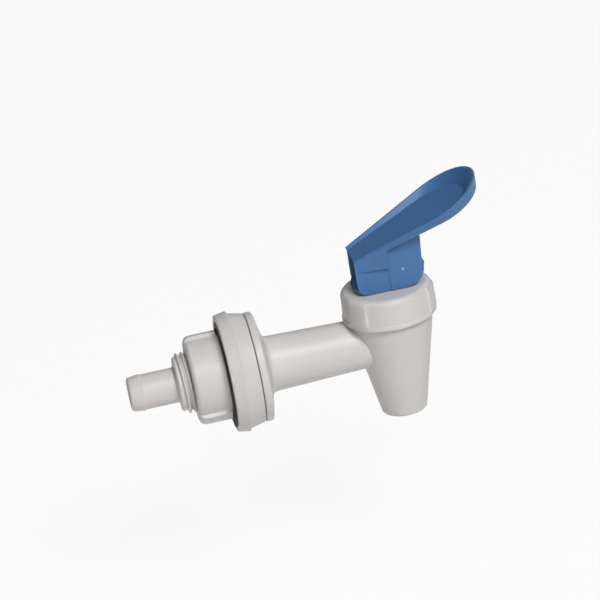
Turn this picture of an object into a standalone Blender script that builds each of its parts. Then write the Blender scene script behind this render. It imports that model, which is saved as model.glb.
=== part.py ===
"""A beverage dispenser spigot: a moulded tap with a lift valve worked by a spoon-shaped lever.

Frame: +X is the way the water runs along the barrel, +Z is up, and the origin is on the
barrel's axis in the seat face of the flange, the face that closes on the dispenser's wall.
The inlet shank points along -X, and the valve stands on a vertical axis at VALVE_X.
"""

import math

import bmesh
import bpy
from mathutils import Matrix, Vector

MM = 0.001

# Clearance that pieces keep between them, and the smaller one between stacked flat faces
GAP = 0.3 * MM
FACE_GAP = 0.06 * MM

# How far a cutter runs on past the face that it opens
CUT_PAST = 2.0 * MM

# Facets round a turned piece, round a rod and along one turn of the spring's wire
ROUND = 48
ROUND_INNER = 32
ROUND_SMALL = 20
ROUND_WIRE = 14
TURN = 2 * math.pi

# Inlet tube with its hose barb, at the -X end
TUBE_LENGTH = 16.6 * MM
TUBE_RADIUS = 6.05 * MM
TUBE_BORE = 4.2 * MM
BARB_RADIUS = 6.35 * MM
BARB_LENGTH = 4.4 * MM
BARB_STEP = 0.45 * MM
TIP_RADIUS = 5.85 * MM
TIP_ROUND = 1.0 * MM
ROOT_FILLET = 0.7 * MM

# Threaded shank, G 1/2. The solid is a plain cylinder at the root of the thread
SHANK_LENGTH = 27.0 * MM
THREAD_RADIUS = 10.48 * MM
THREAD_DEPTH = 1.16 * MM
SHANK_CHAMFER = 0.4 * MM
SHANK_BORE = 6.2 * MM
BORE_FUNNEL = 2.7 * MM
SHANK_RADIUS = THREAD_RADIUS - THREAD_DEPTH

# Flange of the body
FLANGE_RADIUS = 18.95 * MM
FLANGE_RIM = 2.7 * MM
FLANGE_ROUND = 0.8 * MM
FLANGE_SEAT_EDGE = 0.27 * MM
FLANGE_TILT = 11.0
FLANGE_CONE_RADIUS = 11.6 * MM
FLANGE_CONE_EDGE = 1.35 * MM
FLANGE_CONE_RISE = 1.5 * MM
FLANGE_FILLET = 1.7 * MM

# Barrel, tapering from the flange to the valve
VALVE_X = 48.75 * MM
BARREL_RADIUS_FLANGE = 9.6 * MM
BARREL_RADIUS_VALVE = 8.35 * MM

# Valve body and spout, turned about the vertical axis
NECK_RADIUS = 13.3 * MM
NECK_HEIGHT = 6.6 * MM
NECK_WALL = 1.7 * MM
CHAMBER_RADIUS = NECK_RADIUS - NECK_WALL
COLLAR_Z = 8.7 * MM
COLLAR_LEDGE = 1.3 * MM
COLLAR_RADIUS = NECK_RADIUS + COLLAR_LEDGE
COLLAR_HEIGHT = 3.2 * MM
COLLAR_DRAFT = 0.35 * MM
SPOUT_Z = -26.9 * MM
SPOUT_RADIUS = 8.0 * MM
SPOUT_BORE = 6.2 * MM
SPOUT_BORE_TOP = 5.8 * MM
SPOUT_ROUND = 1.0 * MM
CHAMBER_WALL = 2.4 * MM
FLOOR_Z = -12.0 * MM
FLOOR_THICKNESS = 2.0 * MM
SEAT_HEIGHT = 1.0 * MM
SEAT_BORE = 4.4 * MM
SEAT_WIDTH = 1.0 * MM

# Screw cap that closes the valve
CAP_WALL = 2.1 * MM
CAP_BORE = NECK_RADIUS + GAP
CAP_RADIUS = CAP_BORE + CAP_WALL
CAP_DRAFT = 0.2 * MM
CAP_BEAD = 0.3 * MM
CAP_BEAD_HEIGHT = 1.3 * MM
CAP_TOP_Z = 19.6 * MM
CAP_ROUND = 2.2 * MM
CAP_TOP_THICKNESS = 2.1 * MM
CAP_PADS = 3
CAP_PAD_POINTS = 4
CAP_PLAIN_POINTS = 10
CAP_PAD_START = math.radians(50.0)
CAP_PAD_ANGLE = math.radians(33.0)
CAP_PAD_RAMP = math.radians(1.6)
CAP_PAD_HEIGHT = 0.45 * MM

# Silicone seat cup: a rim clamped under the cap, a thin wall and a plug on the seat
CUP_RIM_THICKNESS = 1.6 * MM
CUP_WALL = 1.0 * MM
CUP_SHOULDER_SETBACK = 1.7 * MM
CUP_SHOULDER_RADIUS = CHAMBER_RADIUS - CUP_SHOULDER_SETBACK
CUP_WAIST_RADIUS = 7.4 * MM
CUP_WAIST_Z = 1.0 * MM
PLUG_RADIUS = 5.3 * MM
PLUG_BOTTOM = 1.7 * MM
PLUG_LENGTH = 6.0 * MM

# Lift stem
STEM_RADIUS = 2.9 * MM
STEM_SHOULDER_RADIUS = 5.2 * MM
STEM_SHOULDER_Z = 2.2 * MM
STEM_SHOULDER_THICKNESS = 1.2 * MM
STEM_BUTTON_RADIUS = 3.4 * MM
STEM_BUTTON_LENGTH = 3.0 * MM
STEM_CHAMFER = 0.3 * MM
HEAD_HALF_LENGTH = 3.3 * MM
HEAD_TOP_RADIUS = 3.3 * MM

# Return spring
SPRING_RADIUS = 4.25 * MM
WIRE_RADIUS = 0.42 * MM
SPRING_TURNS = 7

# Lock nut with two finger lugs
NUT_LENGTH = 11.7 * MM
NUT_RADIUS = 14.2 * MM
NUT_ROUND = 1.6 * MM
NUT_EDGE = 0.2 * MM
LUGS = 2
LUG_POINTS = 6
LUG_PLAIN_POINTS = 14
LUG_ROUND_POINTS = 7
LUG_HEIGHT = 1.2 * MM
LUG_SETBACK = 0.1 * MM
LUG_ANGLE = math.radians(50.0)
LUG_START = math.radians(-35.0)
LUG_RAMP = math.radians(1.5)
LUG_ROUND = 3.2 * MM

# Black gasket between the nut and the ring. Its hole is larger than the thread by GASKET_DROP
LOOSE_BORE = THREAD_RADIUS + GAP
GASKET_THICKNESS = 0.4 * MM
GASKET_DROP = 1.9 * MM
GASKET_WIDTH = 4.9 * MM
GASKET_EDGE = 0.1 * MM
GASKET_HOLE = LOOSE_BORE + GASKET_DROP
GASKET_RADIUS = GASKET_HOLE + GASKET_WIDTH

# Tapered mounting ring
RING_LENGTH = 9.7 * MM
RING_LEFT_RADIUS = 20.25 * MM
RING_RIDGE_RADIUS = 20.85 * MM
RING_RIDGE_X = 4.0 * MM
RING_STEP = 0.85 * MM
RING_STEP_LENGTH = 0.4 * MM
RING_RIGHT_RADIUS = 18.9 * MM
RING_WALL = 2.2 * MM
RING_HUB = 4.0 * MM
RING_CORE_DEPTH = 7.0 * MM
RING_EDGE = 0.2 * MM

# Lever: the spoon-shaped paddle, measured along its slope from the rear edge
PADDLE_REAR_REACH = 10.45 * MM
PADDLE_REAR_Z = 32.9 * MM
PADDLE_SLOPE = math.radians(23.0)
PADDLE_REAR_HALF = 7.4 * MM
PADDLE_CENTRE = 34.8 * MM
PADDLE_RADIUS = 15.65 * MM
PADDLE_CURL_START = 28.4 * MM
PADDLE_CURL = 1.15 * MM
PADDLE_RIM = 1.1 * MM
PADDLE_EDGE = 0.3 * MM
PADDLE_DRAFT_REAR = 0.1 * MM
PADDLE_DRAFT_TIP = 1.7 * MM
PADDLE_FLOOR = 1.4 * MM
DISH_DEPTH_REAR = 0.6 * MM
DISH_DEPTH_TIP = 3.2 * MM
DISH_RADIUS = 12.3 * MM
DISH_CENTRE = 31.6 * MM
DISH_REAR_HALF = 5.5 * MM
DISH_FILLET_START = 0.88
DISH_FILLET_DEPTH = 0.94
ARC_POINTS = 21

# Lever: cheeks that straddle the stem's head and roll on the cap
CHEEK_HALF = 7.2 * MM
CHEEK_WALL = 1.6 * MM
CHEEK_PAD = 0.3 * MM
CHEEK_REAR_REACH = 10.15 * MM
CHEEK_FRONT_REACH = 12.95 * MM
CHEEK_ROLL_RADIUS = 6.3 * MM
CHEEK_REAR_ROUND = 2.8 * MM
CHEEK_BUMP = 0.35 * MM
CHEEK_SPLIT_REACH = 0.95 * MM
SKIRT_Z = 28.4 * MM
SKIRT_FLARE = 1.4 * MM
SKIRT_UNDERCUT = 0.05 * MM
SKIRT_REAR_SETBACK = 0.3 * MM
STUB_RADIUS = 1.5 * MM
STUB_LENGTH = 3.0 * MM
WEB_THICKNESS = 1.5 * MM
WEB_BOTTOM_Z = 25.0 * MM
WEB_SETBACK = 0.65 * MM
HEEL_REACH = 1.3 * MM
HEEL_HEIGHT = 2.2 * MM
HEEL_RISE = 0.3 * MM
HEEL_ROUND = 1.0 * MM

# Places that follow from the sizes above
SHANK_END_X = -SHANK_LENGTH
TIP_X = SHANK_END_X - TUBE_LENGTH
RING_RIGHT_X = -GAP
RING_LEFT_X = RING_RIGHT_X - RING_LENGTH
GASKET_RIGHT_X = RING_LEFT_X - FACE_GAP
GASKET_LEFT_X = GASKET_RIGHT_X - GASKET_THICKNESS
NUT_RIGHT_X = GASKET_LEFT_X - FACE_GAP
NUT_LEFT_X = NUT_RIGHT_X - NUT_LENGTH
NECK_TOP_Z = COLLAR_Z + NECK_HEIGHT
CUP_RIM_Z = NECK_TOP_Z + GAP
CAP_CEILING_Z = CAP_TOP_Z - CAP_TOP_THICKNESS
CAP_BOTTOM_Z = COLLAR_Z + GAP
CHEEK_BOTTOM_Z = CAP_TOP_Z + GAP
PIN_Z = CHEEK_BOTTOM_Z + CHEEK_ROLL_RADIUS
PADDLE_REAR_X = VALVE_X - PADDLE_REAR_REACH
CHEEK_REAR_X = VALVE_X - CHEEK_REAR_REACH
CHEEK_SPLIT_X = VALVE_X + CHEEK_SPLIT_REACH
CHEEK_FRONT_X = VALVE_X + CHEEK_FRONT_REACH
SEAT_TOP_Z = FLOOR_Z + SEAT_HEIGHT
PLUG_Z = SEAT_TOP_Z + GAP
CHEEK_INNER = CHEEK_HALF - CHEEK_WALL


def clear_scene():
    """Removes what the scene holds, and gives one collection for the parts and one for the tools."""
    for obj in list(bpy.data.objects):
        bpy.data.objects.remove(obj, do_unlink=True)
    made = []
    for name in ("beverage_dispenser_spigot", "cutters"):
        collection = bpy.data.collections.new(name)
        bpy.context.scene.collection.children.link(collection)
        made.append(collection)
    made[1].hide_render = True
    return made


PARTS, CUTTERS = clear_scene()


def material(name, colour, roughness, metallic=0.0):
    made = bpy.data.materials.new(name)
    made.use_nodes = True
    shader = made.node_tree.nodes["Principled BSDF"]
    shader.inputs["Base Color"].default_value = (*colour, 1.0)
    shader.inputs["Roughness"].default_value = roughness
    shader.inputs["Metallic"].default_value = metallic
    return made


WHITE_PLASTIC = material("white_plastic", (0.66, 0.65, 0.63), 0.32)
RING_PLASTIC = material("ring_plastic", (0.62, 0.60, 0.58), 0.38)
BLUE_PLASTIC = material("blue_plastic", (0.055, 0.17, 0.36), 0.38)
BLACK_RUBBER = material("black_rubber", (0.02, 0.02, 0.02), 0.7)
SILICONE = material("silicone", (0.75, 0.75, 0.72), 0.5)
STEM_PLASTIC = material("stem_plastic", (0.6, 0.6, 0.58), 0.4)
SPRING_STEEL = material("spring_steel", (0.55, 0.56, 0.58), 0.28, 1.0)


def place(name, data, finish=None):
    """An object in the parts, or in the cutters where it has no finish."""
    obj = bpy.data.objects.new(name, data)
    if finish is None:
        CUTTERS.objects.link(obj)
        obj.hide_render = True
        obj.display_type = "WIRE"
    else:
        PARTS.objects.link(obj)
        data.materials.append(finish)
    return obj


def smooth(mesh, angle=35.0):
    mesh.shade_smooth()
    mesh.set_sharp_from_angle(angle=math.radians(angle))


def arc(centre, radius, start, end, count):
    """Points of an arc in a profile's plane, from one angle in degrees to another."""
    points = []
    for i in range(count):
        angle = math.radians(start + (end - start) * i / (count - 1))
        points.append((centre[0] + radius * math.cos(angle), centre[1] + radius * math.sin(angle)))
    return points


def turned(name, profile, finish=None, steps=ROUND, closed=False):
    """A profile of (radius, height) points, outer side from top to bottom, turned about Z."""
    mesh = bpy.data.meshes.new(name)
    count = len(profile)
    edges = [(i, i + 1) for i in range(count - 1)]
    if closed:
        edges.append((count - 1, 0))
    mesh.from_pydata([(radius, 0.0, height) for radius, height in profile], edges, [])
    obj = place(name, mesh, finish)
    screw = obj.modifiers.new("turn", "SCREW")
    screw.axis = "Z"
    screw.angle = TURN
    screw.steps = steps
    screw.render_steps = steps
    screw.use_merge_vertices = True
    screw.merge_threshold = 0.00001
    screw.use_smooth_shade = True
    return obj


def turned_along_x(name, profile, finish=None, steps=ROUND, closed=False):
    """As turned, but the profile's points are (place on the X axis, radius), from +X to -X."""
    obj = turned(name, [(radius, x) for x, radius in profile], finish, steps, closed)
    obj.rotation_euler = (0.0, math.pi / 2, 0.0)
    return obj


def mesh_object(name, build, finish=None):
    """An object whose mesh the given function fills, with its normals pointing outwards."""
    mesh = bpy.data.meshes.new(name)
    form = bmesh.new()
    build(form)
    bmesh.ops.recalc_face_normals(form, faces=form.faces)
    form.to_mesh(mesh)
    form.free()
    smooth(mesh)
    return place(name, mesh, finish)


def ring_of_sections(form, sections):
    """A closed tube through closed sections of equal count, the last joined to the first."""
    rows = [[form.verts.new(point) for point in section] for section in sections]
    for row, following in zip(rows, rows[1:] + rows[:1]):
        for i in range(len(row)):
            j = (i + 1) % len(row)
            form.faces.new((row[i], row[j], following[j], following[i]))


def plate(name, outline, y_low, y_high, finish=None):
    """A flat outline of (x, z) points with a thickness along Y."""
    curve = bpy.data.curves.new(name, "CURVE")
    curve.dimensions = "2D"
    curve.fill_mode = "BOTH"
    curve.extrude = (y_high - y_low) / 2
    spline = curve.splines.new("POLY")
    spline.points.add(len(outline) - 1)
    for point, (x, z) in zip(spline.points, outline):
        point.co = (x, z, 0.0, 1.0)
    spline.use_cyclic_u = True
    drawn = place(name + "_outline", curve)
    drawn.rotation_euler = (math.pi / 2, 0.0, 0.0)
    drawn.location = (0.0, (y_low + y_high) / 2, 0.0)
    bpy.context.view_layer.update()
    seen = drawn.evaluated_get(bpy.context.evaluated_depsgraph_get())
    mesh = bpy.data.meshes.new_from_object(seen)
    form = bmesh.new()
    form.from_mesh(mesh)
    bmesh.ops.remove_doubles(form, verts=form.verts, dist=0.000001)
    bmesh.ops.recalc_face_normals(form, faces=form.faces)
    form.to_mesh(mesh)
    form.free()
    obj = place(name, mesh, finish)
    obj.matrix_world = drawn.matrix_world
    bpy.data.objects.remove(drawn, do_unlink=True)
    return obj


def rod_along_y(name, radius, x, z, y_low, y_high, finish=None, steps=ROUND_SMALL):
    def build(form):
        turn = Matrix.Rotation(math.pi / 2, 4, "X")
        shift = Matrix.Translation((x, (y_low + y_high) / 2, z))
        bmesh.ops.create_cone(
            form, cap_ends=True, segments=steps, radius1=radius, radius2=radius,
            depth=y_high - y_low, matrix=shift @ turn,
        )

    return mesh_object(name, build, finish)


def combine(target, operation, tools):
    for tool in tools:
        step = target.modifiers.new(f"{operation.lower()}_{tool.name}", "BOOLEAN")
        step.operation = operation
        step.object = tool
        step.solver = "EXACT"


def cone_radius(z):
    """Outer radius of the valve body's cone at a height, between the collar and the spout's end."""
    top_z = COLLAR_Z - COLLAR_HEIGHT
    share = (z - SPOUT_Z) / (top_z - SPOUT_Z)
    return SPOUT_RADIUS + (COLLAR_RADIUS - COLLAR_DRAFT - SPOUT_RADIUS) * share


def make_valve_body():
    """Inlet tube, shank, flange, barrel, valve chamber and spout, moulded in one piece."""
    root = FLANGE_RIM + FLANGE_CONE_RISE + FLANGE_FILLET
    fillet_centre = (root, BARREL_RADIUS_FLANGE + FLANGE_FILLET)
    profile = [(VALVE_X, 0.0), (VALVE_X, BARREL_RADIUS_VALVE)]
    profile += arc(fillet_centre, FLANGE_FILLET, 270, 180 + FLANGE_TILT, 5)
    profile += [(FLANGE_RIM + FLANGE_CONE_EDGE, FLANGE_CONE_RADIUS)]
    rim_centre = FLANGE_RIM - FLANGE_ROUND, FLANGE_RADIUS - FLANGE_ROUND
    profile += arc(rim_centre, FLANGE_ROUND, FLANGE_TILT, 90, 4)
    profile += [(FLANGE_SEAT_EDGE, FLANGE_RADIUS), (0.0, FLANGE_RADIUS - FLANGE_SEAT_EDGE)]
    profile += [(0.0, SHANK_RADIUS), (SHANK_END_X + SHANK_CHAMFER, SHANK_RADIUS)]
    profile += [(SHANK_END_X, SHANK_RADIUS - SHANK_CHAMFER)]
    profile += [(SHANK_END_X, TUBE_RADIUS + ROOT_FILLET), (SHANK_END_X - ROOT_FILLET, TUBE_RADIUS)]
    barb_x = TIP_X + BARB_LENGTH
    profile += [(barb_x + BARB_STEP, TUBE_RADIUS), (barb_x, BARB_RADIUS)]
    profile += arc((TIP_X + TIP_ROUND, TIP_RADIUS - TIP_ROUND), TIP_ROUND, 90, 180, 4)
    profile += [(TIP_X, 0.0)]
    body = turned_along_x("valve_body", profile, WHITE_PLASTIC)

    outer = [(0.0, NECK_TOP_Z), (NECK_RADIUS, NECK_TOP_Z), (NECK_RADIUS, COLLAR_Z)]
    outer += [(COLLAR_RADIUS, COLLAR_Z), (COLLAR_RADIUS - COLLAR_DRAFT / 2, COLLAR_Z - COLLAR_HEIGHT / 2)]
    outer += [(cone_radius(COLLAR_Z - COLLAR_HEIGHT), COLLAR_Z - COLLAR_HEIGHT)]
    lip = cone_radius(SPOUT_Z) - SPOUT_ROUND, SPOUT_Z + SPOUT_ROUND
    outer += arc(lip, SPOUT_ROUND, 0, -90, 4) + [(0.0, SPOUT_Z)]
    cup = turned("cup_and_spout", outer)
    cup.location.x = VALVE_X

    open_z = NECK_TOP_Z + CUT_PAST
    chamber = [(0.0, open_z), (CHAMBER_RADIUS, open_z), (CHAMBER_RADIUS, COLLAR_Z)]
    chamber += [(cone_radius(FLOOR_Z) - CHAMBER_WALL, FLOOR_Z), (SEAT_BORE + SEAT_WIDTH, FLOOR_Z)]
    chamber += [(SEAT_BORE + SEAT_WIDTH, SEAT_TOP_Z), (SEAT_BORE, SEAT_TOP_Z)]
    chamber += [(SEAT_BORE, FLOOR_Z - FLOOR_THICKNESS), (SPOUT_BORE_TOP, FLOOR_Z - FLOOR_THICKNESS)]
    chamber += [(SPOUT_BORE, SPOUT_Z - CUT_PAST), (0.0, SPOUT_Z - CUT_PAST)]
    well = turned("chamber_and_outlet", chamber, steps=ROUND_INNER)
    well.location.x = VALVE_X

    bore_end = VALVE_X - CHAMBER_RADIUS / 2
    bore_step = SHANK_END_X + BORE_FUNNEL
    bore = [(bore_end, 0.0), (bore_end, SHANK_BORE), (bore_step, SHANK_BORE)]
    bore += [(SHANK_END_X, TUBE_BORE), (TIP_X - CUT_PAST, TUBE_BORE), (TIP_X - CUT_PAST, 0.0)]
    inlet = turned_along_x("inlet_bore", bore, steps=ROUND_INNER)

    combine(body, "UNION", [cup])
    combine(body, "DIFFERENCE", [well, inlet])
    return body


def cap_section(radius, height, raised=0.0):
    """A section of the cap: a circle about the valve's axis, with the grip pads raised on it."""
    pitch = TURN / CAP_PADS
    flat = CAP_PAD_ANGLE - 2 * CAP_PAD_RAMP
    places = []
    for pad in range(CAP_PADS):
        start = CAP_PAD_START + pad * pitch
        places.append((start, 0.0))
        for i in range(CAP_PAD_POINTS + 2):
            places.append((start + CAP_PAD_RAMP + flat * i / (CAP_PAD_POINTS + 1), 1.0))
        end = start + CAP_PAD_ANGLE
        places.append((end, 0.0))
        for i in range(CAP_PLAIN_POINTS):
            places.append((end + (pitch - CAP_PAD_ANGLE) * (i + 1) / (CAP_PLAIN_POINTS + 1), 0.0))
    points = []
    for angle, share in places:
        out = radius + raised * share
        points.append((VALVE_X + out * math.sin(angle), -out * math.cos(angle), height))
    return points


def make_bonnet_cap():
    """The screw cap: a skirt over the neck, a rounded shoulder with grip pads, and the stem's hole."""
    bead_z = CAP_BOTTOM_Z + CAP_BEAD_HEIGHT
    foot = CAP_RADIUS + CAP_DRAFT
    shoulder = (CAP_RADIUS - CAP_ROUND, CAP_TOP_Z - CAP_ROUND)
    edge = CAP_BEAD / 2
    sections = [cap_section(foot + CAP_BEAD - edge, CAP_BOTTOM_Z)]
    sections += [cap_section(foot + CAP_BEAD, CAP_BOTTOM_Z + edge), cap_section(foot + CAP_BEAD, bead_z)]
    sections += [cap_section(foot, bead_z + CAP_BEAD, CAP_PAD_HEIGHT)]
    for radius, height in arc(shoulder, CAP_ROUND, 0, 90, 6):
        fading = (radius - shoulder[0]) / CAP_ROUND
        sections.append(cap_section(radius, height, CAP_PAD_HEIGHT * fading))
    hole = STEM_RADIUS + GAP
    sections += [cap_section(hole, CAP_TOP_Z), cap_section(hole, CAP_CEILING_Z)]
    sections += [cap_section(CAP_BORE, CAP_CEILING_Z), cap_section(CAP_BORE, CAP_BOTTOM_Z)]
    return mesh_object("bonnet_cap", lambda form: ring_of_sections(form, sections), WHITE_PLASTIC)


def make_seat_cup():
    """The silicone cup that keeps the water off the stem and closes on the seat."""
    rim_top = CUP_RIM_Z + CUP_RIM_THICKNESS
    plug_top = PLUG_Z + PLUG_LENGTH
    pocket = STEM_BUTTON_RADIUS + GAP
    throat = STEM_RADIUS + GAP
    pocket_z = PLUG_Z + PLUG_BOTTOM
    pocket_top = pocket_z + STEM_BUTTON_LENGTH + 2 * GAP
    profile = [(NECK_RADIUS - GAP, rim_top), (NECK_RADIUS - GAP, CUP_RIM_Z)]
    profile += [(CHAMBER_RADIUS - GAP, CUP_RIM_Z), (CUP_SHOULDER_RADIUS + CUP_WALL / 2, COLLAR_Z)]
    profile += [(CUP_WAIST_RADIUS, CUP_WAIST_Z), (PLUG_RADIUS, plug_top)]
    profile += [(PLUG_RADIUS, PLUG_Z + CUP_WALL / 2), (PLUG_RADIUS - CUP_WALL / 2, PLUG_Z), (0.0, PLUG_Z)]
    inside = [(0.0, pocket_z), (pocket, pocket_z), (pocket, pocket_top), (throat, pocket_top)]
    inside += [(throat, plug_top), (CUP_WAIST_RADIUS - CUP_WALL, CUP_WAIST_Z - CUP_WALL)]
    inside += [(CUP_SHOULDER_RADIUS - CUP_WALL / 2, COLLAR_Z)]
    inside += [(CHAMBER_RADIUS - GAP - CUP_WALL, rim_top)]
    obj = turned("seat_cup", inside[::-1][:1] + profile + inside[:-1], SILICONE, ROUND_INNER, True)
    obj.location.x = VALVE_X
    return obj


def make_lift_stem():
    """The stem: a head with a cross hole between the lever's cheeks, a shaft and a button."""
    button_top = PLUG_Z + PLUG_BOTTOM + GAP + STEM_BUTTON_LENGTH
    button_end = button_top - STEM_BUTTON_LENGTH
    under = STEM_SHOULDER_Z - STEM_SHOULDER_THICKNESS
    profile = [(0.0, PIN_Z), (STEM_RADIUS, PIN_Z), (STEM_RADIUS, STEM_SHOULDER_Z)]
    profile += [(STEM_SHOULDER_RADIUS, STEM_SHOULDER_Z), (STEM_SHOULDER_RADIUS, under)]
    profile += [(STEM_RADIUS, under - STEM_SHOULDER_THICKNESS), (STEM_RADIUS, button_top)]
    profile += [(STEM_BUTTON_RADIUS, button_top), (STEM_BUTTON_RADIUS, button_end + STEM_CHAMFER)]
    profile += [(STEM_BUTTON_RADIUS - STEM_CHAMFER, button_end), (0.0, button_end)]
    stem = turned("lift_stem", profile, STEM_PLASTIC, ROUND_INNER)
    stem.location.x = VALVE_X

    bottom = CAP_TOP_Z + 2 * GAP
    outline = [(VALVE_X - HEAD_HALF_LENGTH, bottom), (VALVE_X + HEAD_HALF_LENGTH, bottom)]
    outline += arc((VALVE_X, PIN_Z), HEAD_TOP_RADIUS, 0, 180, 11)
    half = CHEEK_INNER - GAP
    head = plate("stem_head", outline, -half, half)
    eye = rod_along_y("stem_eye", STUB_RADIUS + GAP, VALVE_X, PIN_Z, -2 * half, 2 * half)
    combine(stem, "UNION", [head])
    combine(stem, "DIFFERENCE", [eye])
    return stem


def make_return_spring():
    """A coil that pushes the stem's shoulder down from the cap, with a dead turn at each end."""
    low = STEM_SHOULDER_Z + GAP + WIRE_RADIUS
    high = CAP_CEILING_Z - GAP - WIRE_RADIUS
    dead = 2 * WIRE_RADIUS + GAP / 2
    count = SPRING_TURNS * ROUND_WIRE + 1
    curve = bpy.data.curves.new("return_spring", "CURVE")
    curve.dimensions = "3D"
    curve.bevel_depth = WIRE_RADIUS
    curve.bevel_resolution = 1
    curve.use_fill_caps = True
    spline = curve.splines.new("POLY")
    spline.points.add(count - 1)
    for i, point in enumerate(spline.points):
        turn = i / ROUND_WIRE
        if turn <= 1:
            height = dead * turn
        elif turn >= SPRING_TURNS - 1:
            height = (high - low) - dead * (SPRING_TURNS - turn)
        else:
            height = dead + (high - low - 2 * dead) * (turn - 1) / (SPRING_TURNS - 2)
        angle = TURN * turn
        x = VALVE_X + SPRING_RADIUS * math.cos(angle)
        point.co = (x, SPRING_RADIUS * math.sin(angle), low + height, 1.0)
    return place("return_spring", curve, SPRING_STEEL)


def nut_section(x, inset, lug_share):
    """A section of the lock nut: a circle about the X axis with two finger lugs raised on it."""
    pitch = TURN / LUGS
    angles = []
    for lug in range(LUGS):
        start = LUG_START - LUG_ANGLE + lug * pitch
        angles.append((start, 0.0))
        for i in range(LUG_POINTS):
            share = i / (LUG_POINTS - 1)
            angles.append((start + LUG_RAMP + (LUG_ANGLE - 2 * LUG_RAMP) * share, 1.0))
        angles.append((start + LUG_ANGLE, 0.0))
        span = pitch - LUG_ANGLE
        for i in range(LUG_PLAIN_POINTS):
            angles.append((start + LUG_ANGLE + span * (i + 1) / (LUG_PLAIN_POINTS + 1), 0.0))
    points = []
    for angle, share in angles:
        radius = NUT_RADIUS - inset + LUG_HEIGHT * lug_share * share
        points.append((x, -radius * math.cos(angle), radius * math.sin(angle)))
    return points


def make_lock_nut():
    bore = SHANK_RADIUS + GAP
    lug_end = NUT_RIGHT_X - NUT_EDGE - LUG_SETBACK
    sections = [nut_section(NUT_RIGHT_X, NUT_RADIUS - bore, 0.0), nut_section(NUT_RIGHT_X, NUT_EDGE, 0.0)]
    sections += [nut_section(NUT_RIGHT_X - NUT_EDGE, 0.0, 0.0), nut_section(lug_end, 0.0, 0.0)]
    sections.append(nut_section(lug_end - NUT_EDGE, 0.0, 1.0))
    for i in range(LUG_ROUND_POINTS):
        angle = math.pi / 2 * i / (LUG_ROUND_POINTS - 1)
        x = NUT_LEFT_X + LUG_ROUND * (1 - math.sin(angle))
        into = max(0.0, NUT_ROUND - (x - NUT_LEFT_X))
        inset = NUT_ROUND - math.sqrt(NUT_ROUND**2 - into**2)
        sections.append(nut_section(x, inset, math.cos(angle)))
    sections.append(nut_section(NUT_LEFT_X, NUT_RADIUS - bore, 0.0))
    return mesh_object("lock_nut", lambda form: ring_of_sections(form, sections), WHITE_PLASTIC)


def make_gasket():
    """The loose rubber washer: its hole is larger than the thread, so it hangs a little low."""
    rim = GASKET_RADIUS - GASKET_EDGE
    profile = [(GASKET_RIGHT_X, GASKET_HOLE), (GASKET_RIGHT_X, rim)]
    profile += [(GASKET_RIGHT_X - GASKET_EDGE, GASKET_RADIUS), (GASKET_LEFT_X + GASKET_EDGE, GASKET_RADIUS)]
    profile += [(GASKET_LEFT_X, rim), (GASKET_LEFT_X, GASKET_HOLE)]
    gasket = turned_along_x("nut_gasket", profile, BLACK_RUBBER, ROUND, True)
    gasket.location.z = -GASKET_DROP
    return gasket


def make_mounting_ring():
    """The tapered ring between the gasket and the flange, cored out from the gasket's side."""
    ridge_x = RING_LEFT_X + RING_RIDGE_X
    step_x = ridge_x + RING_STEP_LENGTH
    core_right = RING_LEFT_X + RING_CORE_DEPTH
    core_outer = RING_LEFT_RADIUS - RING_WALL
    core_inner = LOOSE_BORE + RING_HUB
    profile = [(RING_RIGHT_X, LOOSE_BORE), (RING_RIGHT_X, RING_RIGHT_RADIUS - RING_EDGE)]
    profile += [(RING_RIGHT_X - RING_EDGE, RING_RIGHT_RADIUS), (step_x, RING_RIDGE_RADIUS - RING_STEP)]
    profile += [(ridge_x + RING_EDGE / 2, RING_RIDGE_RADIUS - RING_EDGE / 2)]
    profile += [(ridge_x - RING_EDGE, RING_RIDGE_RADIUS)]
    profile += [(RING_LEFT_X + RING_EDGE, RING_LEFT_RADIUS), (RING_LEFT_X, RING_LEFT_RADIUS - RING_EDGE)]
    profile += [(RING_LEFT_X, core_outer), (core_right, core_outer), (core_right, core_inner)]
    profile += [(RING_LEFT_X, core_inner), (RING_LEFT_X, LOOSE_BORE)]
    return turned_along_x("mounting_ring", profile, RING_PLASTIC, ROUND, True)


def paddle_point(along, across, level):
    """A point of the paddle: along its slope, across it, and above or below its rim."""
    past = max(0.0, along - PADDLE_CURL_START)
    reach = PADDLE_CENTRE + PADDLE_RADIUS - PADDLE_CURL_START
    height = level + PADDLE_CURL * (past / reach) ** 2
    x = PADDLE_REAR_X + along * math.cos(PADDLE_SLOPE) - height * math.sin(PADDLE_SLOPE)
    z = PADDLE_REAR_Z + along * math.sin(PADDLE_SLOPE) + height * math.cos(PADDLE_SLOPE)
    return Vector((x, across, z))


def spoon_chain(rear_half, centre, radius, level):
    """A spoon's outline, from the near rear corner round the tip to the far one."""
    tilt = math.acos(-radius / math.hypot(centre, rear_half)) - math.atan2(rear_half, centre)
    side = (centre + radius * math.cos(tilt), radius * math.sin(tilt))
    flat = []
    for share in (0.0, 0.25, 0.5, 0.75):
        flat.append((side[0] * share, rear_half + (side[1] - rear_half) * share))
    chain = [(along, -across) for along, across in flat]
    for i in range(ARC_POINTS):
        angle = -tilt + 2 * tilt * i / (ARC_POINTS - 1)
        chain.append((centre + radius * math.cos(angle), radius * math.sin(angle)))
    chain += flat[::-1]
    return [paddle_point(along, across, level(along)) for along, across in chain]


def dish_depth(along):
    share = min(1.0, along / (PADDLE_CENTRE + PADDLE_RADIUS))
    return DISH_DEPTH_REAR + (DISH_DEPTH_TIP - DISH_DEPTH_REAR) * share


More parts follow.
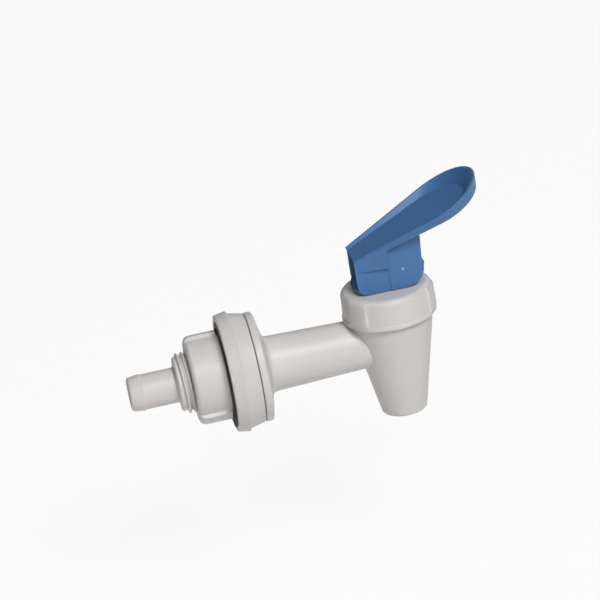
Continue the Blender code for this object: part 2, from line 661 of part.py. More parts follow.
def make_paddle():
    """The spoon: an outer wall, a rim, and a dish that is open at the rear."""

    def wall_chain(inset, draft, level):
        rear = PADDLE_REAR_HALF - inset - draft * PADDLE_DRAFT_REAR
        radius = PADDLE_RADIUS - inset - draft * PADDLE_DRAFT_TIP
        return spoon_chain(rear, PADDLE_CENTRE, radius, level)

    def dish_chain(share, drop):
        rear = PADDLE_REAR_HALF - PADDLE_RIM
        radius = PADDLE_RADIUS - PADDLE_RIM
        return spoon_chain(
            rear + (DISH_REAR_HALF - rear) * share,
            PADDLE_CENTRE + (DISH_CENTRE - PADDLE_CENTRE) * share,
            radius + (DISH_RADIUS - radius) * share,
            lambda along: -dish_depth(along) * drop,
        )

    def under(along):
        return -dish_depth(along) - PADDLE_FLOOR

    chains = [
        wall_chain(PADDLE_EDGE, 1.0, under),
        wall_chain(0.0, 1.0, lambda along: under(along) + PADDLE_EDGE),
        wall_chain(0.0, 0.0, lambda along: -PADDLE_EDGE),
        wall_chain(PADDLE_EDGE, 0.0, lambda along: 0.0),
        dish_chain(0.0, 0.0),
        dish_chain(DISH_FILLET_START, DISH_FILLET_DEPTH),
        dish_chain(1.0, 1.0),
    ]

    def build(form):
        rows = [[form.verts.new(point) for point in chain] for chain in chains]
        last = len(rows[0]) - 1
        for row, following in zip(rows, rows[1:]):
            for i in range(last):
                form.faces.new((row[i], row[i + 1], following[i + 1], following[i]))
        for row in (rows[0], rows[-1]):
            for i in range(last // 2):
                corners = [row[i], row[i + 1], row[last - i - 1], row[last - i]]
                form.faces.new(list(dict.fromkeys(corners)))
        form.faces.new([row[0] for row in rows] + [row[last] for row in reversed(rows)])

    return mesh_object("lever_handle", build, BLUE_PLASTIC)


def make_lever():
    """The lever: paddle, skirt, two cheeks, the stubs that carry the stem, a web and a heel."""
    lever = make_paddle()
    tools = []

    def underside(x):
        along = (x - PADDLE_REAR_X) / math.cos(PADDLE_SLOPE)
        return paddle_point(along, 0.0, -dish_depth(along) - PADDLE_FLOOR / 2).z

    roll = (CHEEK_FRONT_X - CHEEK_ROLL_RADIUS, PIN_Z)
    rear_round = (CHEEK_REAR_X + CHEEK_REAR_ROUND, CHEEK_BOTTOM_Z + CHEEK_REAR_ROUND)
    bump_z = PIN_Z + CHEEK_ROLL_RADIUS / 4
    front = arc(roll, CHEEK_ROLL_RADIUS, -90, 0, 8)
    front += [(CHEEK_FRONT_X + CHEEK_BUMP, bump_z), (CHEEK_FRONT_X - CHEEK_BUMP, 2 * bump_z - PIN_Z)]
    front += [(CHEEK_FRONT_X + CHEEK_BUMP, underside(CHEEK_FRONT_X + CHEEK_BUMP))]
    rear = [(PADDLE_REAR_X + CHEEK_BUMP, underside(PADDLE_REAR_X + CHEEK_BUMP))]
    rear += arc(rear_round, CHEEK_REAR_ROUND, 180, 270, 4)
    pad_rear = [(CHEEK_SPLIT_X, underside(CHEEK_SPLIT_X)), (CHEEK_SPLIT_X, CHEEK_BOTTOM_Z)]
    for side, name in ((-1, "near"), (1, "far")):
        inner, outer = side * CHEEK_INNER, side * CHEEK_HALF
        tools.append(plate(f"{name}_cheek", front + rear, min(inner, outer), max(inner, outer)))
        inner, outer = side * (CHEEK_HALF - CHEEK_PAD), side * (CHEEK_HALF + CHEEK_PAD)
        tools.append(plate(f"{name}_pad", front + pad_rear, min(inner, outer), max(inner, outer)))
        tools.append(skirt_block(f"{name}_skirt", side))
        stub_end = side * (CHEEK_INNER - STUB_LENGTH)
        stub_root = side * (CHEEK_INNER + CHEEK_WALL / 2)
        ends = sorted((stub_end, stub_root))
        tools.append(rod_along_y(f"{name}_stub", STUB_RADIUS, VALVE_X, PIN_Z, *ends))

    web_front = CHEEK_FRONT_X - WEB_SETBACK
    web = [(web_front - WEB_THICKNESS, WEB_BOTTOM_Z), (web_front, WEB_BOTTOM_Z)]
    web += [(web_front, underside(web_front)), (web_front - WEB_THICKNESS, underside(web_front - WEB_THICKNESS))]
    across = CHEEK_INNER + CHEEK_WALL / 2
    tools.append(plate("front_web", web, -across, across))
    heel_low = CHEEK_BOTTOM_Z + HEEL_RISE
    heel_high = CHEEK_BOTTOM_Z + HEEL_HEIGHT
    heel_tip = CHEEK_REAR_X - HEEL_REACH
    heel = [(heel_tip, heel_low + HEEL_ROUND), (heel_tip + HEEL_ROUND, heel_low)]
    heel += [(CHEEK_REAR_X + CHEEK_REAR_ROUND, heel_low), (CHEEK_REAR_X + CHEEK_WALL, heel_high)]
    heel += [(CHEEK_REAR_X, heel_high)]
    tools.append(plate("heel", heel, -across, across))
    combine(lever, "UNION", tools)
    return lever


def skirt_block(name, side):
    """The part of a side wall that runs down from the rim to the cheek, flaring with the spoon."""
    front_along = (CHEEK_SPLIT_X - PADDLE_REAR_X) / math.cos(PADDLE_SLOPE)
    spread = (PADDLE_RADIUS - PADDLE_REAR_HALF) / PADDLE_CENTRE
    inner = CHEEK_INNER + CHEEK_WALL / 4

    def rim(along, inset):
        across = PADDLE_REAR_HALF + spread * along - SKIRT_UNDERCUT - inset
        return paddle_point(along, side * across, -PADDLE_EDGE)

    upper = [
        rim(SKIRT_REAR_SETBACK, 0.0),
        rim(front_along, 0.0),
        rim(front_along, PADDLE_RIM / 2),
        rim(SKIRT_REAR_SETBACK, PADDLE_RIM / 2),
    ]
    rear_x, front_x = upper[0].x, upper[1].x
    lower = [
        Vector((rear_x, side * CHEEK_HALF, SKIRT_Z)),
        Vector((front_x, side * (CHEEK_HALF + SKIRT_FLARE), SKIRT_Z)),
        Vector((front_x, side * inner, SKIRT_Z)),
        Vector((rear_x, side * inner, SKIRT_Z)),
    ]

    def build(form):
        rows = [[form.verts.new(point) for point in ring] for ring in (upper, lower)]
        form.faces.new(rows[0])
        form.faces.new(rows[1])
        for i in range(4):
            j = (i + 1) % 4
            form.faces.new((rows[0][i], rows[0][j], rows[1][j], rows[1][i]))

    return mesh_object(name, build)


def set_origin(obj, point):
    """Moves an object's origin to a point, its shape staying where it is."""
    shift = Vector(point) - obj.location
    obj.data.transform(Matrix.Translation(-shift))
    obj.location = point


def main():
    make_valve_body()
    make_bonnet_cap()
    make_seat_cup()
    make_lift_stem()
    make_return_spring()
    make_lock_nut()
    make_gasket()
    make_mounting_ring()
    lever = make_lever()
    set_origin(lever, (VALVE_X, 0.0, PIN_Z))


main()
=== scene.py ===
"""A beverage dispenser spigot, dressed for the render: plastics, rubber, wire and thread."""

import math

import bmesh
import bpy
from mathutils import Matrix, Vector


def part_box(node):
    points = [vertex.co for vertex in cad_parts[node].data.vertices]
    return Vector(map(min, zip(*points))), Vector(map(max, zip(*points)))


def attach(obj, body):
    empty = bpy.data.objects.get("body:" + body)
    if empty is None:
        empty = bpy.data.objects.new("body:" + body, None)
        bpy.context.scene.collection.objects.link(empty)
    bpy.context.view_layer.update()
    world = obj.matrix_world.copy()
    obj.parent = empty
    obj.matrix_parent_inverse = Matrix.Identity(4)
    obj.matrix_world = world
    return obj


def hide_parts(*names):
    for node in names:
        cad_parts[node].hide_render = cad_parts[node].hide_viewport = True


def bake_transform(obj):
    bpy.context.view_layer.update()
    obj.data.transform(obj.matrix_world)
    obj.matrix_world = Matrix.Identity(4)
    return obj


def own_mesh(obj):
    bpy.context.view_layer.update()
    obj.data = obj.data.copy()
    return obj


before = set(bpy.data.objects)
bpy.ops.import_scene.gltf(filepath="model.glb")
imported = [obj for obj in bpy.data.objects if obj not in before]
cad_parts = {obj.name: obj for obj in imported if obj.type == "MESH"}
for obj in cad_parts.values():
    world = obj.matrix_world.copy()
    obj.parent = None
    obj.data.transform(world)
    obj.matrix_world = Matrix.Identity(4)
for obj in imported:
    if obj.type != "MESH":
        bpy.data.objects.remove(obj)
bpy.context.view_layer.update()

MM = 0.001
TURN = 2 * math.pi

# Camera, fitted to the photograph
CAMERA_AZIMUTH = math.radians(-6.427)
CAMERA_ELEVATION = math.radians(22.404)
CAMERA_ROLL = math.radians(9.927)
CAMERA_DISTANCE = 950.716 * MM
CAMERA_RIGHT = 15.471 * MM
CAMERA_UP = 22.84 * MM
CAMERA_NEAR = 0.01
LENS = 168.0
SENSOR = 36.0

# Places of the part, read from the frame
BODY_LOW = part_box("valve_body")[0]
GASKET_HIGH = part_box("nut_gasket")[1]
LEVER_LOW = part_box("lever_handle")[0]
STEM_LOW, STEM_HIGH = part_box("lift_stem")
SPRING_LOW, SPRING_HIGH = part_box("return_spring")
VALVE_X = (STEM_LOW.x + STEM_HIGH.x) / 2

# Thread of the shank, G 1/2: crest and foot in shares of the pitch, run-out in shares of the length
THREAD_RADIUS = 10.48 * MM
THREAD_DEPTH = 1.16 * MM
THREAD_SINK = 0.1 * MM
THREAD_PITCH = 1.814 * MM
THREAD_CREST = 0.26
THREAD_FOOT = 0.96
THREAD_RUN_OUT = 0.012
THREAD_STEPS = 56
SHANK_LENGTH = 27.0 * MM

# Return spring; an end turn's rise is counted in wire radii
WIRE_RADIUS = 0.42 * MM
WIRE_SIDES = 12
SPRING_TURNS = 7.0
SPRING_STEPS = 40
END_TURN_RISE = 2.1

# Raised dot on the lever's near cheek, whose lighter blue is a painted highlight
GATE_X = 54.4 * MM
GATE_Z = 26.8 * MM
GATE_RADIUS = 0.55 * MM
GATE_RISE = 0.2 * MM
LEVER_PLATE_Y = -7.5 * MM

# Heel of the lever, whose ends are drawn in
HEEL_ROOT_X = 38.6 * MM
HEEL_REACH = 1.3 * MM
HEEL_TOP = 2.3 * MM
HEEL_HALF = 6.4 * MM
HEEL_SLANT = 4.0 * MM
HEEL_SLACK = 0.05 * MM

# Gasket, whose outer wall is drawn in
GASKET_DRAW = 0.7 * MM
GASKET_SLACK = 0.4 * MM

# Shading: edges that turn by more than these degrees stay sharp
CREASE = 22.0
NUT_CREASE = 20.0
LEVER_CREASE = 17.0
THREAD_CREASE = 40.0
WIRE_CREASE = 60.0
GATE_CREASE = 80.0
NORMAL_WEIGHT = 80

# Lengths in metres under which corners are merged and faces count as empty
WELD = 0.000002
NO_LENGTH = 0.000001

# Noise: scales of the textures, and the part of its values that is used
CLOUD_SCALE = 40.0
SHEEN_SCALE = 160.0
GRAIN_SCALE = 2600.0
DUST_SCALE = 350.0
PIT_SCALE = 2500.0
STREAK_SCALE = 1400.0
MILK_SCALE = 220.0
NOISE_LOW = 0.35
NOISE_HIGH = 0.65

# Plastic: how far its roughness goes below and above the stated one, and its skin
GLOSSIER = 0.01
DULLER = 0.02
GRAIN_DEPTH = 0.0002
PIT_DEPTH = 0.0001
PLASTIC_IOR = 1.5
WHITE_GLOW = 0.08

# Floor
FLOOR_DROP = 60.0 * MM
FLOOR_SIZE = 6.0
FLOOR_COLOUR = (0.9, 0.9, 0.9, 1.0)
FLOOR_ROUGHNESS = 0.9
FLOOR_WHITE = 0.92

# World: a thin air light, and white behind the part, of which glossy rays get a small share
AIR_COLOUR = (0.93, 0.96, 1.0, 1.0)
AIR_STRENGTH = 0.005
PURE_WHITE = (1.0, 1.0, 1.0, 1.0)
WORLD_WHITE = 1.0
WORLD_GLOSSY_WHITE = 0.08

# Lamps: name, azimuth and elevation in degrees, distance, width and height in metres, watts, colour
LAMP_TARGET = Vector((20 * MM, 0, 10 * MM))
LAMPS = (
    ("key", 22, 46, 1.3, 0.42, 0.42, 12.0, (0.985, 0.99, 1.0)),
    ("left_front", -22, 42, 1.5, 0.6, 0.6, 3.0, (1.0, 0.99, 0.99)),
    ("top", 20, 80, 1.5, 0.8, 0.8, 0.9, (0.9, 0.93, 1.0)),
    ("front", 2, 8, 1.6, 1.2, 0.7, 3.6, (1.0, 0.985, 0.98)),
    ("back_right", 150, 25, 1.5, 0.6, 0.6, 2.8, (0.96, 0.97, 1.0)),
    ("back_left", 195, 62, 1.5, 0.6, 0.6, 2.2, (0.96, 0.97, 1.0)),
)


def screen_colour(colour):
    """A colour given as screen values from 0 to 255, as the shader's linear values."""
    linear = []
    for value in colour:
        share = value / 255.0
        linear.append(share / 12.92 if share <= 0.04045 else ((share + 0.055) / 1.055) ** 2.4)
    return (*linear, 1.0)


def direction(azimuth, elevation):
    """The way from the part to a viewer, where azimuth 0 looks from -Y and both are in radians."""
    flat = math.cos(elevation)
    return Vector((math.sin(azimuth) * flat, -math.cos(azimuth) * flat, math.sin(elevation)))


def math_node(tree, operation, first, second=0.0):
    """A math node's result; each value is a number or another node's output."""
    node = tree.nodes.new("ShaderNodeMath")
    node.operation = operation
    for i, value in enumerate((first, second)):
        if isinstance(value, bpy.types.NodeSocket):
            tree.links.new(value, node.inputs[i])
        else:
            node.inputs[i].default_value = value
    return node.outputs[0]


def new_material(name):
    """A new material with its node tree and its shader."""
    made = bpy.data.materials.new(name)
    made.use_nodes = True
    tree = made.node_tree
    return made, tree, tree.nodes["Principled BSDF"]


def object_noise(tree, scale, detail=3.0, roughness=0.55, distortion=0.0):
    """Noise that stays with the object when it moves."""
    place = tree.nodes.get("Texture Coordinate") or tree.nodes.new("ShaderNodeTexCoord")
    noise = tree.nodes.new("ShaderNodeTexNoise")
    noise.inputs["Scale"].default_value = scale
    noise.inputs["Detail"].default_value = detail
    noise.inputs["Roughness"].default_value = roughness
    noise.inputs["Distortion"].default_value = distortion
    tree.links.new(place.outputs["Object"], noise.inputs["Vector"])
    return noise.outputs["Fac"]


def ranged(tree, noise, low, high):
    """The noise spread over the values from low to high."""
    span = tree.nodes.new("ShaderNodeMapRange")
    span.inputs["From Min"].default_value = NOISE_LOW
    span.inputs["From Max"].default_value = NOISE_HIGH
    span.inputs["To Min"].default_value = low
    span.inputs["To Max"].default_value = high
    tree.links.new(noise, span.inputs["Value"])
    return span.outputs["Result"]


def cloud_colour(tree, shader, noise, first, second):
    """A base colour that goes from the first to the second with the noise."""
    mix = tree.nodes.new("ShaderNodeMix")
    mix.data_type = "RGBA"
    mix.inputs["A"].default_value = first
    mix.inputs["B"].default_value = second
    tree.links.new(ranged(tree, noise, 0.0, 1.0), mix.inputs["Factor"])
    tree.links.new(mix.outputs["Result"], shader.inputs["Base Color"])


def uneven_gloss(tree, shader, noise, low, high):
    """A roughness that goes from low to high with the noise."""
    tree.links.new(ranged(tree, noise, low, high), shader.inputs["Roughness"])


def bumped(tree, shader, noise, strength, distance):
    """A fine relief on the surface."""
    bump = tree.nodes.new("ShaderNodeBump")
    bump.inputs["Strength"].default_value = strength
    bump.inputs["Distance"].default_value = distance
    tree.links.new(noise, bump.inputs["Height"])
    tree.links.new(bump.outputs["Normal"], shader.inputs["Normal"])


def glowing(shader, share, radius, scale):
    """Light that goes under the skin and comes out beside where it went in."""
    shader.inputs["Subsurface Weight"].default_value = share
    shader.inputs["Subsurface Radius"].default_value = radius
    shader.inputs["Subsurface Scale"].default_value = scale


def moulded_plastic(name, colour, cloud, roughness, relief=0.006, glow=0.0):
    """An injection-moulded plastic: faint clouds in its colour, uneven gloss and a fine skin."""
    made, tree, shader = new_material(name)
    clouds = object_noise(tree, CLOUD_SCALE, detail=2.0, roughness=0.5, distortion=0.3)
    cloud_colour(tree, shader, clouds, screen_colour(colour), screen_colour(cloud))
    sheen = object_noise(tree, SHEEN_SCALE)
    uneven_gloss(tree, shader, sheen, roughness - GLOSSIER, roughness + DULLER)
    bumped(tree, shader, object_noise(tree, GRAIN_SCALE, detail=2.0), relief, GRAIN_DEPTH)
    shader.inputs["IOR"].default_value = PLASTIC_IOR
    glowing(shader, glow, (0.6, 0.5, 0.4), 1.0 * MM)
    return made


def black_rubber():
    """A dull black rubber with dust on it."""
    made, tree, shader = new_material("black_rubber")
    dust = object_noise(tree, DUST_SCALE, detail=5.0, roughness=0.7)
    cloud_colour(tree, shader, dust, screen_colour((72, 71, 72)), screen_colour((79, 78, 79)))
    uneven_gloss(tree, shader, dust, 0.8, 0.95)
    shader.inputs["Specular IOR Level"].default_value = 0.25
    bumped(tree, shader, object_noise(tree, PIT_SCALE), 0.2, PIT_DEPTH)
    return made


def drawn_wire():
    """A bright drawn steel wire with streaks."""
    made, tree, shader = new_material("drawn_wire")
    streaks = object_noise(tree, STREAK_SCALE, detail=2.0)
    cloud_colour(tree, shader, streaks, (0.5, 0.51, 0.53, 1), (0.66, 0.67, 0.68, 1))
    uneven_gloss(tree, shader, streaks, 0.2, 0.34)
    shader.inputs["Metallic"].default_value = 1.0
    return made


def milky_silicone():
    """A soft silicone that lets some light in."""
    made, tree, shader = new_material("milky_silicone")
    clouds = object_noise(tree, MILK_SCALE)
    cloud_colour(tree, shader, clouds, (0.66, 0.65, 0.61, 1), (0.74, 0.73, 0.7, 1))
    uneven_gloss(tree, shader, clouds, 0.4, 0.5)
    glowing(shader, 0.4, (1.0, 0.9, 0.8), 2.0 * MM)
    return made


WHITE = moulded_plastic(
    "white_plastic", (206, 202, 199), (205, 201, 197), roughness=0.42, glow=WHITE_GLOW)
CAP_WHITE = moulded_plastic(
    "cap_plastic", (206, 202, 199), (205, 201, 197), roughness=0.43, glow=WHITE_GLOW)
NUT_WHITE = moulded_plastic(
    "nut_plastic", (206, 202, 199), (205, 201, 197), roughness=0.44, glow=WHITE_GLOW)
RING_WHITE = moulded_plastic(
    "ring_plastic", (205, 201, 198), (204, 199, 196), roughness=0.47, relief=0.01, glow=WHITE_GLOW)
BLUE = moulded_plastic("blue_plastic", (63, 110, 161), (61, 107, 158), roughness=0.46, relief=0.012)
# The dot's lighter blue is a painted highlight, not a colour of the lever's plastic
HIGHLIGHT_BLUE = moulded_plastic("painted_highlight_blue", (128, 166, 205), (122, 160, 200), roughness=0.3)
STEM_WHITE = moulded_plastic("stem_plastic", (205, 205, 200), (197, 197, 192), roughness=0.4)
RUBBER = black_rubber()
WIRE = drawn_wire()
SILICONE = milky_silicone()


def link(obj):
    """The object, put into the scene."""
    bpy.context.scene.collection.objects.link(obj)
    return obj


def smooth(mesh, angle):
    """Smooth shading, apart from edges that turn by more than the angle in degrees."""
    mesh.shade_smooth()
    mesh.set_sharp_from_angle(angle=math.radians(angle))


def weighted(obj, angle):
    """Normals weighted by area, none of which leans over its face by more than the angle."""
    weigh = obj.modifiers.new("weigh", "WEIGHTED_NORMAL")
    weigh.keep_sharp = True
    weigh.weight = NORMAL_WEIGHT
    seen = obj.evaluated_get(bpy.context.evaluated_depsgraph_get())
    made = bpy.data.meshes.new_from_object(seen)
    obj.modifiers.remove(weigh)
    leaning = [Vector(corner.vector) for corner in made.corner_normals]
    for face in made.polygons:
        for i in face.loop_indices:
            if leaning[i].angle(face.normal) > math.radians(angle):
                leaning[i] = face.normal.copy()
    made.normals_split_custom_set(leaning)
    obj.data = made


def slant_heel(form):
    """Both ends of the lever's heel drawn in, so that they face to the rear."""
    for vert in form.verts:
        place = vert.co
        on_heel = place.x < HEEL_ROOT_X - HEEL_SLACK and place.z < LEVER_LOW.z + HEEL_TOP
        if on_heel and abs(place.y) > HEEL_HALF - HEEL_SLACK:
            draw = HEEL_SLANT * (HEEL_ROOT_X - place.x) / HEEL_REACH
            place.y -= math.copysign(draw, place.y)


def draw_in_rim(form):
    """The gasket's outer wall drawn in a little, for the narrow edge that shows beside the nut."""
    for vert in form.verts:
        reach = math.hypot(vert.co.y, vert.co.z)
        if reach > GASKET_HIGH.y - GASKET_SLACK:
            vert.co.y *= (reach - GASKET_DRAW) / reach
            vert.co.z *= (reach - GASKET_DRAW) / reach


def dressed(node, name, finish, body, angle=CREASE, change=None):
    """A smoothly shaded copy of a CAD node, which stands for it and may ride on a body."""
    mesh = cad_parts[node].data.copy()
    form = bmesh.new()
    form.from_mesh(mesh)
    bmesh.ops.remove_doubles(form, verts=form.verts, dist=WELD)
    bmesh.ops.dissolve_degenerate(form, edges=form.edges, dist=NO_LENGTH)
    if change:
        change(form)
    form.to_mesh(mesh)
    form.free()
    mesh.materials.clear()
    mesh.materials.append(finish)
    smooth(mesh, angle)
    piece = link(bpy.data.objects.new(name, mesh))
    weighted(piece, angle)
    if body:
        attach(piece, body)
    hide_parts(node)
    return piece


class Tree:
    """A geometry node tree with named inputs, built node by node."""

    def __init__(self, name, inputs):
        self.tree = bpy.data.node_groups.new(name, "GeometryNodeTree")
        faces = self.tree.interface
        faces.new_socket("Geometry", in_out="OUTPUT", socket_type="NodeSocketGeometry")
        self.sockets = {}
        for label, kind in inputs:
            socket = faces.new_socket(label, in_out="INPUT", socket_type=kind)
            self.sockets[label] = socket.identifier
        self.start = self.tree.nodes.new("NodeGroupInput")
        self.end = self.tree.nodes.new("NodeGroupOutput")

    def add(self, kind, inputs=None, **settings):
        """A new node, with its settings and with numbers or other nodes' outputs as its inputs."""
        node = self.tree.nodes.new(kind)
        for name, value in settings.items():
            setattr(node, name, value)
        for name, value in (inputs or {}).items():
            if isinstance(value, bpy.types.NodeSocket):
                self.tree.links.new(value, node.inputs[name])
            else:
                node.inputs[name].default_value = value
        return node

    def given(self, label):
        """The tree's own input of that name."""
        return self.start.outputs[label]

    def maths(self, operation, first, second=0.0):
        """A math node's result in this tree."""
        return math_node(self.tree, operation, first, second)

    def close(self, geometry):
        """The tree's end: the geometry made real and given its finish."""
        realised = self.add("GeometryNodeRealizeInstances", {"Geometry": geometry})
        finish = self.add("GeometryNodeSetMaterial", {"Geometry": realised.outputs[0]})
        self.tree.links.new(self.given("Finish"), finish.inputs["Material"])
        self.tree.links.new(finish.outputs[0], self.end.inputs["Geometry"])

    def mesh(self, name, values):
        """A plain mesh of what the tree makes with these values."""
        holder = link(bpy.data.objects.new(name, bpy.data.meshes.new(name + "_start")))
        steps = holder.modifiers.new("steps", "NODES")
        steps.node_group = self.tree
        for label, value in values.items():
            steps[self.sockets[label]] = value
        bpy.context.view_layer.update()
        seen = holder.evaluated_get(bpy.context.evaluated_depsgraph_get())
        made = bpy.data.meshes.new_from_object(seen)
        made.name = name
        holder.modifiers.remove(steps)
        bpy.data.objects.remove(holder)
        return made


def coil_tree(name):
    """An open tree with the inputs that the thread and the spring share."""
    number, whole = "NodeSocketFloat", "NodeSocketInt"
    inputs = [("Radius", number), ("Height", number), ("Turns", number), ("Steps", whole)]
    inputs += [("Foot", number), ("Crest", number), ("Depth", number), ("Run Out", number)]
    inputs += [("Sides", whole), ("Finish", "NodeSocketMaterial")]
    return Tree(name, inputs)


def thread_tree():
    """A right-handed helix about Z with a ridge swept along it, which thins out at both ends."""
    made = coil_tree("thread_turns")
    helix = made.add("GeometryNodeCurveSpiral", {
        "Resolution": made.given("Steps"), "Rotations": made.given("Turns"),
        "Start Radius": made.given("Radius"), "End Radius": made.given("Radius"),
        "Height": made.given("Height"), "Reverse": True,
    })
    upright = made.add("GeometryNodeSetCurveNormal", {"Curve": helix.outputs[0]}, mode="Z_UP")
    place = made.add("GeometryNodeSplineParameter").outputs["Factor"]
    from_end = made.maths("MINIMUM", place, made.maths("SUBTRACT", 1.0, place))
    swell = made.maths("MINIMUM", made.maths("DIVIDE", from_end, made.given("Run Out")), 1.0)
    thinned = made.add("GeometryNodeSetCurveRadius", {"Curve": upright.outputs[0], "Radius": swell})
    profile = made.add("GeometryNodeCurvePrimitiveQuadrilateral", {
        "Bottom Width": made.given("Foot"), "Top Width": made.given("Crest"),
        "Height": made.given("Depth"), "Offset": 0.0,
    }, mode="TRAPEZOID")
    turned = made.add("GeometryNodeTransform", {"Geometry": profile.outputs[0]})
    turned.inputs["Rotation"].default_value = (0.0, 0.0, -math.pi / 2)
    sweep = made.add("GeometryNodeCurveToMesh", {
        "Curve": thinned.outputs[0], "Profile Curve": turned.outputs[0], "Fill Caps": True,
        "Scale": made.add("GeometryNodeInputRadius").outputs[0],
    })
    made.close(sweep.outputs[0])
    return made


def make_thread():
    """The turns of the shank's thread, from its end face to behind the nut and the ring."""
    start = -SHANK_LENGTH + THREAD_PITCH / 2
    length = SHANK_LENGTH - THREAD_PITCH
    depth = THREAD_DEPTH + THREAD_SINK
    mesh = thread_tree().mesh("shank_thread", {
        "Radius": THREAD_RADIUS - depth / 2, "Height": length, "Turns": length / THREAD_PITCH,
        "Steps": THREAD_STEPS, "Foot": THREAD_PITCH * THREAD_FOOT,
        "Crest": THREAD_PITCH * THREAD_CREST, "Depth": depth, "Run Out": THREAD_RUN_OUT,
        "Finish": WHITE,
    })
    mesh.transform(Matrix.Translation((start, 0, 0)) @ Matrix.Rotation(math.pi / 2, 4, "Y"))
    smooth(mesh, THREAD_CREASE)
    piece = link(bpy.data.objects.new("shank_thread", mesh))
    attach(piece, "root")


def wire_tree():
    """A round wire wound about Z, whose first and last turn lie close to the next one."""
    made = coil_tree("wire_turns")
    turns = made.given("Turns")
    line = made.add("GeometryNodeCurvePrimitiveLine", {"End": (0.0, 0.0, 1.0)})
    count = made.maths("MULTIPLY", turns, made.given("Steps"))
    points = made.add("GeometryNodeResampleCurve", {"Curve": line.outputs[0], "Count": count})
    place = made.add("GeometryNodeSplineParameter").outputs["Factor"]
    turn = made.maths("MULTIPLY", place, turns)
    angle = made.maths("MULTIPLY", turn, TURN)
    x = made.maths("MULTIPLY", made.maths("COSINE", angle), made.given("Radius"))
    y = made.maths("MULTIPLY", made.maths("SINE", angle), made.given("Radius"))
    dead = made.maths("MULTIPLY", made.given("Foot"), END_TURN_RISE)
    open_turns = made.maths("SUBTRACT", turns, 2.0)
    both_ends = made.maths("MULTIPLY", dead, 2.0)
    open_height = made.maths("SUBTRACT", made.given("Height"), both_ends)
    first = made.maths("MULTIPLY", made.maths("MINIMUM", turn, 1.0), dead)
    past_first = made.maths("MAXIMUM", made.maths("SUBTRACT", turn, 1.0), 0.0)
    middle = made.maths("MINIMUM", past_first, open_turns)
    rise = made.maths("MULTIPLY", made.maths("DIVIDE", middle, open_turns), open_height)
    in_last = made.maths("SUBTRACT", turn, made.maths("SUBTRACT", turns, 1.0))
    last = made.maths("MULTIPLY", made.maths("MAXIMUM", in_last, 0.0), dead)
    z = made.maths("ADD", made.maths("ADD", first, rise), last)
    where = made.add("ShaderNodeCombineXYZ", {"X": x, "Y": y, "Z": z})
    wound = made.add("GeometryNodeSetPosition", {
        "Geometry": points.outputs[0], "Position": where.outputs[0],
    })
    ring = made.add("GeometryNodeCurvePrimitiveCircle", {
        "Resolution": made.given("Sides"), "Radius": made.given("Foot"),
    })
    sweep = made.add("GeometryNodeCurveToMesh", {
        "Curve": wound.outputs[0], "Profile Curve": ring.outputs[0], "Fill Caps": True,
    })
    made.close(sweep.outputs[0])
    return made


def make_spring():
    """The return spring's wire, wound to fill the return spring's place."""
    low = SPRING_LOW.z + WIRE_RADIUS
    high = SPRING_HIGH.z - WIRE_RADIUS
    mesh = wire_tree().mesh("return_spring_wire", {
        "Radius": (SPRING_HIGH.x - SPRING_LOW.x) / 2 - WIRE_RADIUS, "Height": high - low,
        "Turns": SPRING_TURNS, "Steps": SPRING_STEPS, "Foot": WIRE_RADIUS, "Sides": WIRE_SIDES,
        "Finish": WIRE,
    })
    mesh.transform(Matrix.Translation((VALVE_X, 0, low)))
    smooth(mesh, WIRE_CREASE)
    piece = link(bpy.data.objects.new("return_spring_wire", mesh))
    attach(piece, "root")
    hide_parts("return_spring")
    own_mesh(piece)


def make_seat_cup():
    """The silicone cup, as a smoothly shaded copy that stays in place."""
    piece = dressed("seat_cup", "silicone_cup", SILICONE, None)
    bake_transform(piece)


def make_painted_highlight_dot():
    """A small raised dot on the near cheek, in a lighter blue that is a painted highlight."""
    form = bmesh.new()
    bmesh.ops.create_uvsphere(form, u_segments=24, v_segments=12, radius=1.0)
    shape = Matrix.Diagonal((GATE_RADIUS, GATE_RISE, GATE_RADIUS, 1.0))
    form.transform(Matrix.Translation((GATE_X, LEVER_PLATE_Y, GATE_Z)) @ shape)
    mesh = bpy.data.meshes.new("painted_highlight_dot")
    form.to_mesh(mesh)
    form.free()
    mesh.materials.append(HIGHLIGHT_BLUE)
    smooth(mesh, GATE_CREASE)
    piece = link(bpy.data.objects.new("painted_highlight_dot", mesh))
    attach(piece, "lever")


def make_camera():
    """The photograph's camera, with its roll and its shift off the middle."""
    back = direction(CAMERA_AZIMUTH, CAMERA_ELEVATION)
    level_right = Vector((math.cos(CAMERA_AZIMUTH), math.sin(CAMERA_AZIMUTH), 0.0))
    level_up = back.cross(level_right)
    right = math.cos(CAMERA_ROLL) * level_right - math.sin(CAMERA_ROLL) * level_up
    up = math.sin(CAMERA_ROLL) * level_right + math.cos(CAMERA_ROLL) * level_up
    data = bpy.data.cameras.new("camera")
    data.sensor_width = SENSOR
    data.lens = LENS
    data.clip_start = CAMERA_NEAR
    camera = link(bpy.data.objects.new("camera", data))
    camera.matrix_world = Matrix((right, up, back)).transposed().to_4x4()
    camera.location = CAMERA_RIGHT * right + CAMERA_UP * up + CAMERA_DISTANCE * back
    bpy.context.scene.camera = camera


def softbox(name, azimuth, elevation, distance, width, height, power, colour):
    """An area lamp that faces the part, placed round it as the camera's views are counted."""
    away = direction(math.radians(azimuth), math.radians(elevation))
    data = bpy.data.lights.new(name, "AREA")
    data.shape = "RECTANGLE"
    data.size = width
    data.size_y = height
    data.energy = power
    data.color = colour
    lamp = link(bpy.data.objects.new(name, data))
    lamp.location = LAMP_TARGET + away * distance
    lamp.rotation_euler = away.to_track_quat("Z", "Y").to_euler()


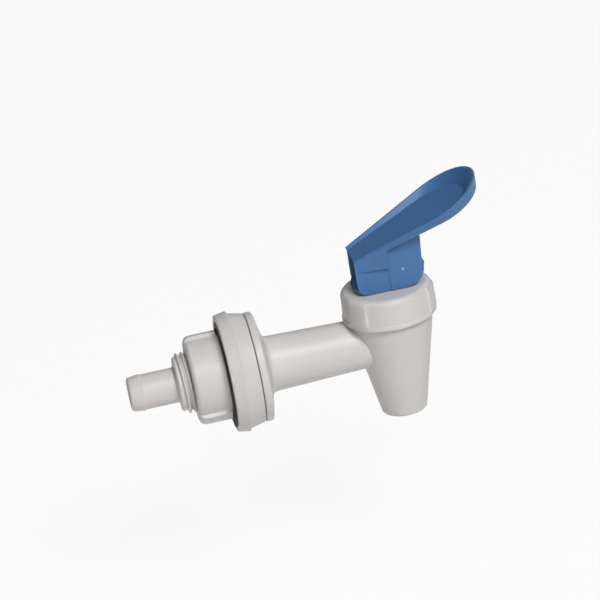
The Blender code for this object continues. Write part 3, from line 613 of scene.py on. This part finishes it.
def background_rays(tree, direct, glossy):
    """How much white a background shows: to camera and transmission rays, and to glossy rays."""
    rays = tree.nodes.new("ShaderNodeLightPath").outputs
    unbent = math_node(tree, "MAXIMUM", rays["Is Camera Ray"], rays["Is Transmission Ray"])
    seen = math_node(tree, "MULTIPLY", unbent, direct)
    mirrored = math_node(tree, "MULTIPLY", rays["Is Glossy Ray"], glossy)
    return math_node(tree, "MAXIMUM", seen, mirrored)


def show_white(tree, usual, white, direct, glossy, output):
    """The usual shader, mixed with white by the kind of ray, as what the output shows."""
    mix = tree.nodes.new("ShaderNodeMixShader")
    tree.links.new(background_rays(tree, direct, glossy), mix.inputs["Fac"])
    tree.links.new(usual.outputs[0], mix.inputs[1])
    tree.links.new(white.outputs[0], mix.inputs[2])
    tree.links.new(mix.outputs[0], tree.nodes[output].inputs["Surface"])


def make_floor():
    """A pale floor well below the tap."""
    below = (0, 0, BODY_LOW.z - FLOOR_DROP)
    bpy.ops.mesh.primitive_plane_add(size=FLOOR_SIZE, location=below)
    floor = bpy.context.object
    floor.name = "floor"
    made, tree, shader = new_material("floor_paint")
    shader.inputs["Base Color"].default_value = FLOOR_COLOUR
    shader.inputs["Roughness"].default_value = FLOOR_ROUGHNESS
    glow = tree.nodes.new("ShaderNodeEmission")
    glow.inputs["Strength"].default_value = 1.0
    show_white(tree, shader, glow, FLOOR_WHITE, FLOOR_WHITE, "Material Output")
    floor.data.materials.append(made)


def make_world():
    """A white background, which lights the part only faintly."""
    world = bpy.data.worlds.new("studio")
    bpy.context.scene.world = world
    world.use_nodes = True
    tree = world.node_tree
    air = tree.nodes["Background"]
    air.inputs["Color"].default_value = AIR_COLOUR
    air.inputs["Strength"].default_value = AIR_STRENGTH
    white = tree.nodes.new("ShaderNodeBackground")
    white.inputs["Color"].default_value = PURE_WHITE
    show_white(tree, air, white, WORLD_WHITE, WORLD_GLOSSY_WHITE, "World Output")


def main():
    """The whole scene: camera, pieces, floor, world and lamps."""
    make_camera()
    dressed("valve_body", "moulded_body", WHITE, "root")
    dressed("bonnet_cap", "screw_cap", CAP_WHITE, "root")
    dressed("mounting_ring", "tapered_ring", RING_WHITE, "root")
    dressed("nut_gasket", "rubber_washer", RUBBER, "gasket", change=draw_in_rim)
    dressed("lock_nut", "finger_nut", NUT_WHITE, "nut", NUT_CREASE)
    dressed("lever_handle", "spoon_lever", BLUE, "lever", LEVER_CREASE, slant_heel)
    dressed("lift_stem", "valve_stem", STEM_WHITE, "stem")
    make_seat_cup()
    make_thread()
    make_spring()
    make_painted_highlight_dot()
    make_floor()
    make_world()
    for lamp in LAMPS:
        softbox(*lamp)
    bpy.context.scene.view_settings.view_transform = "Standard"


main()
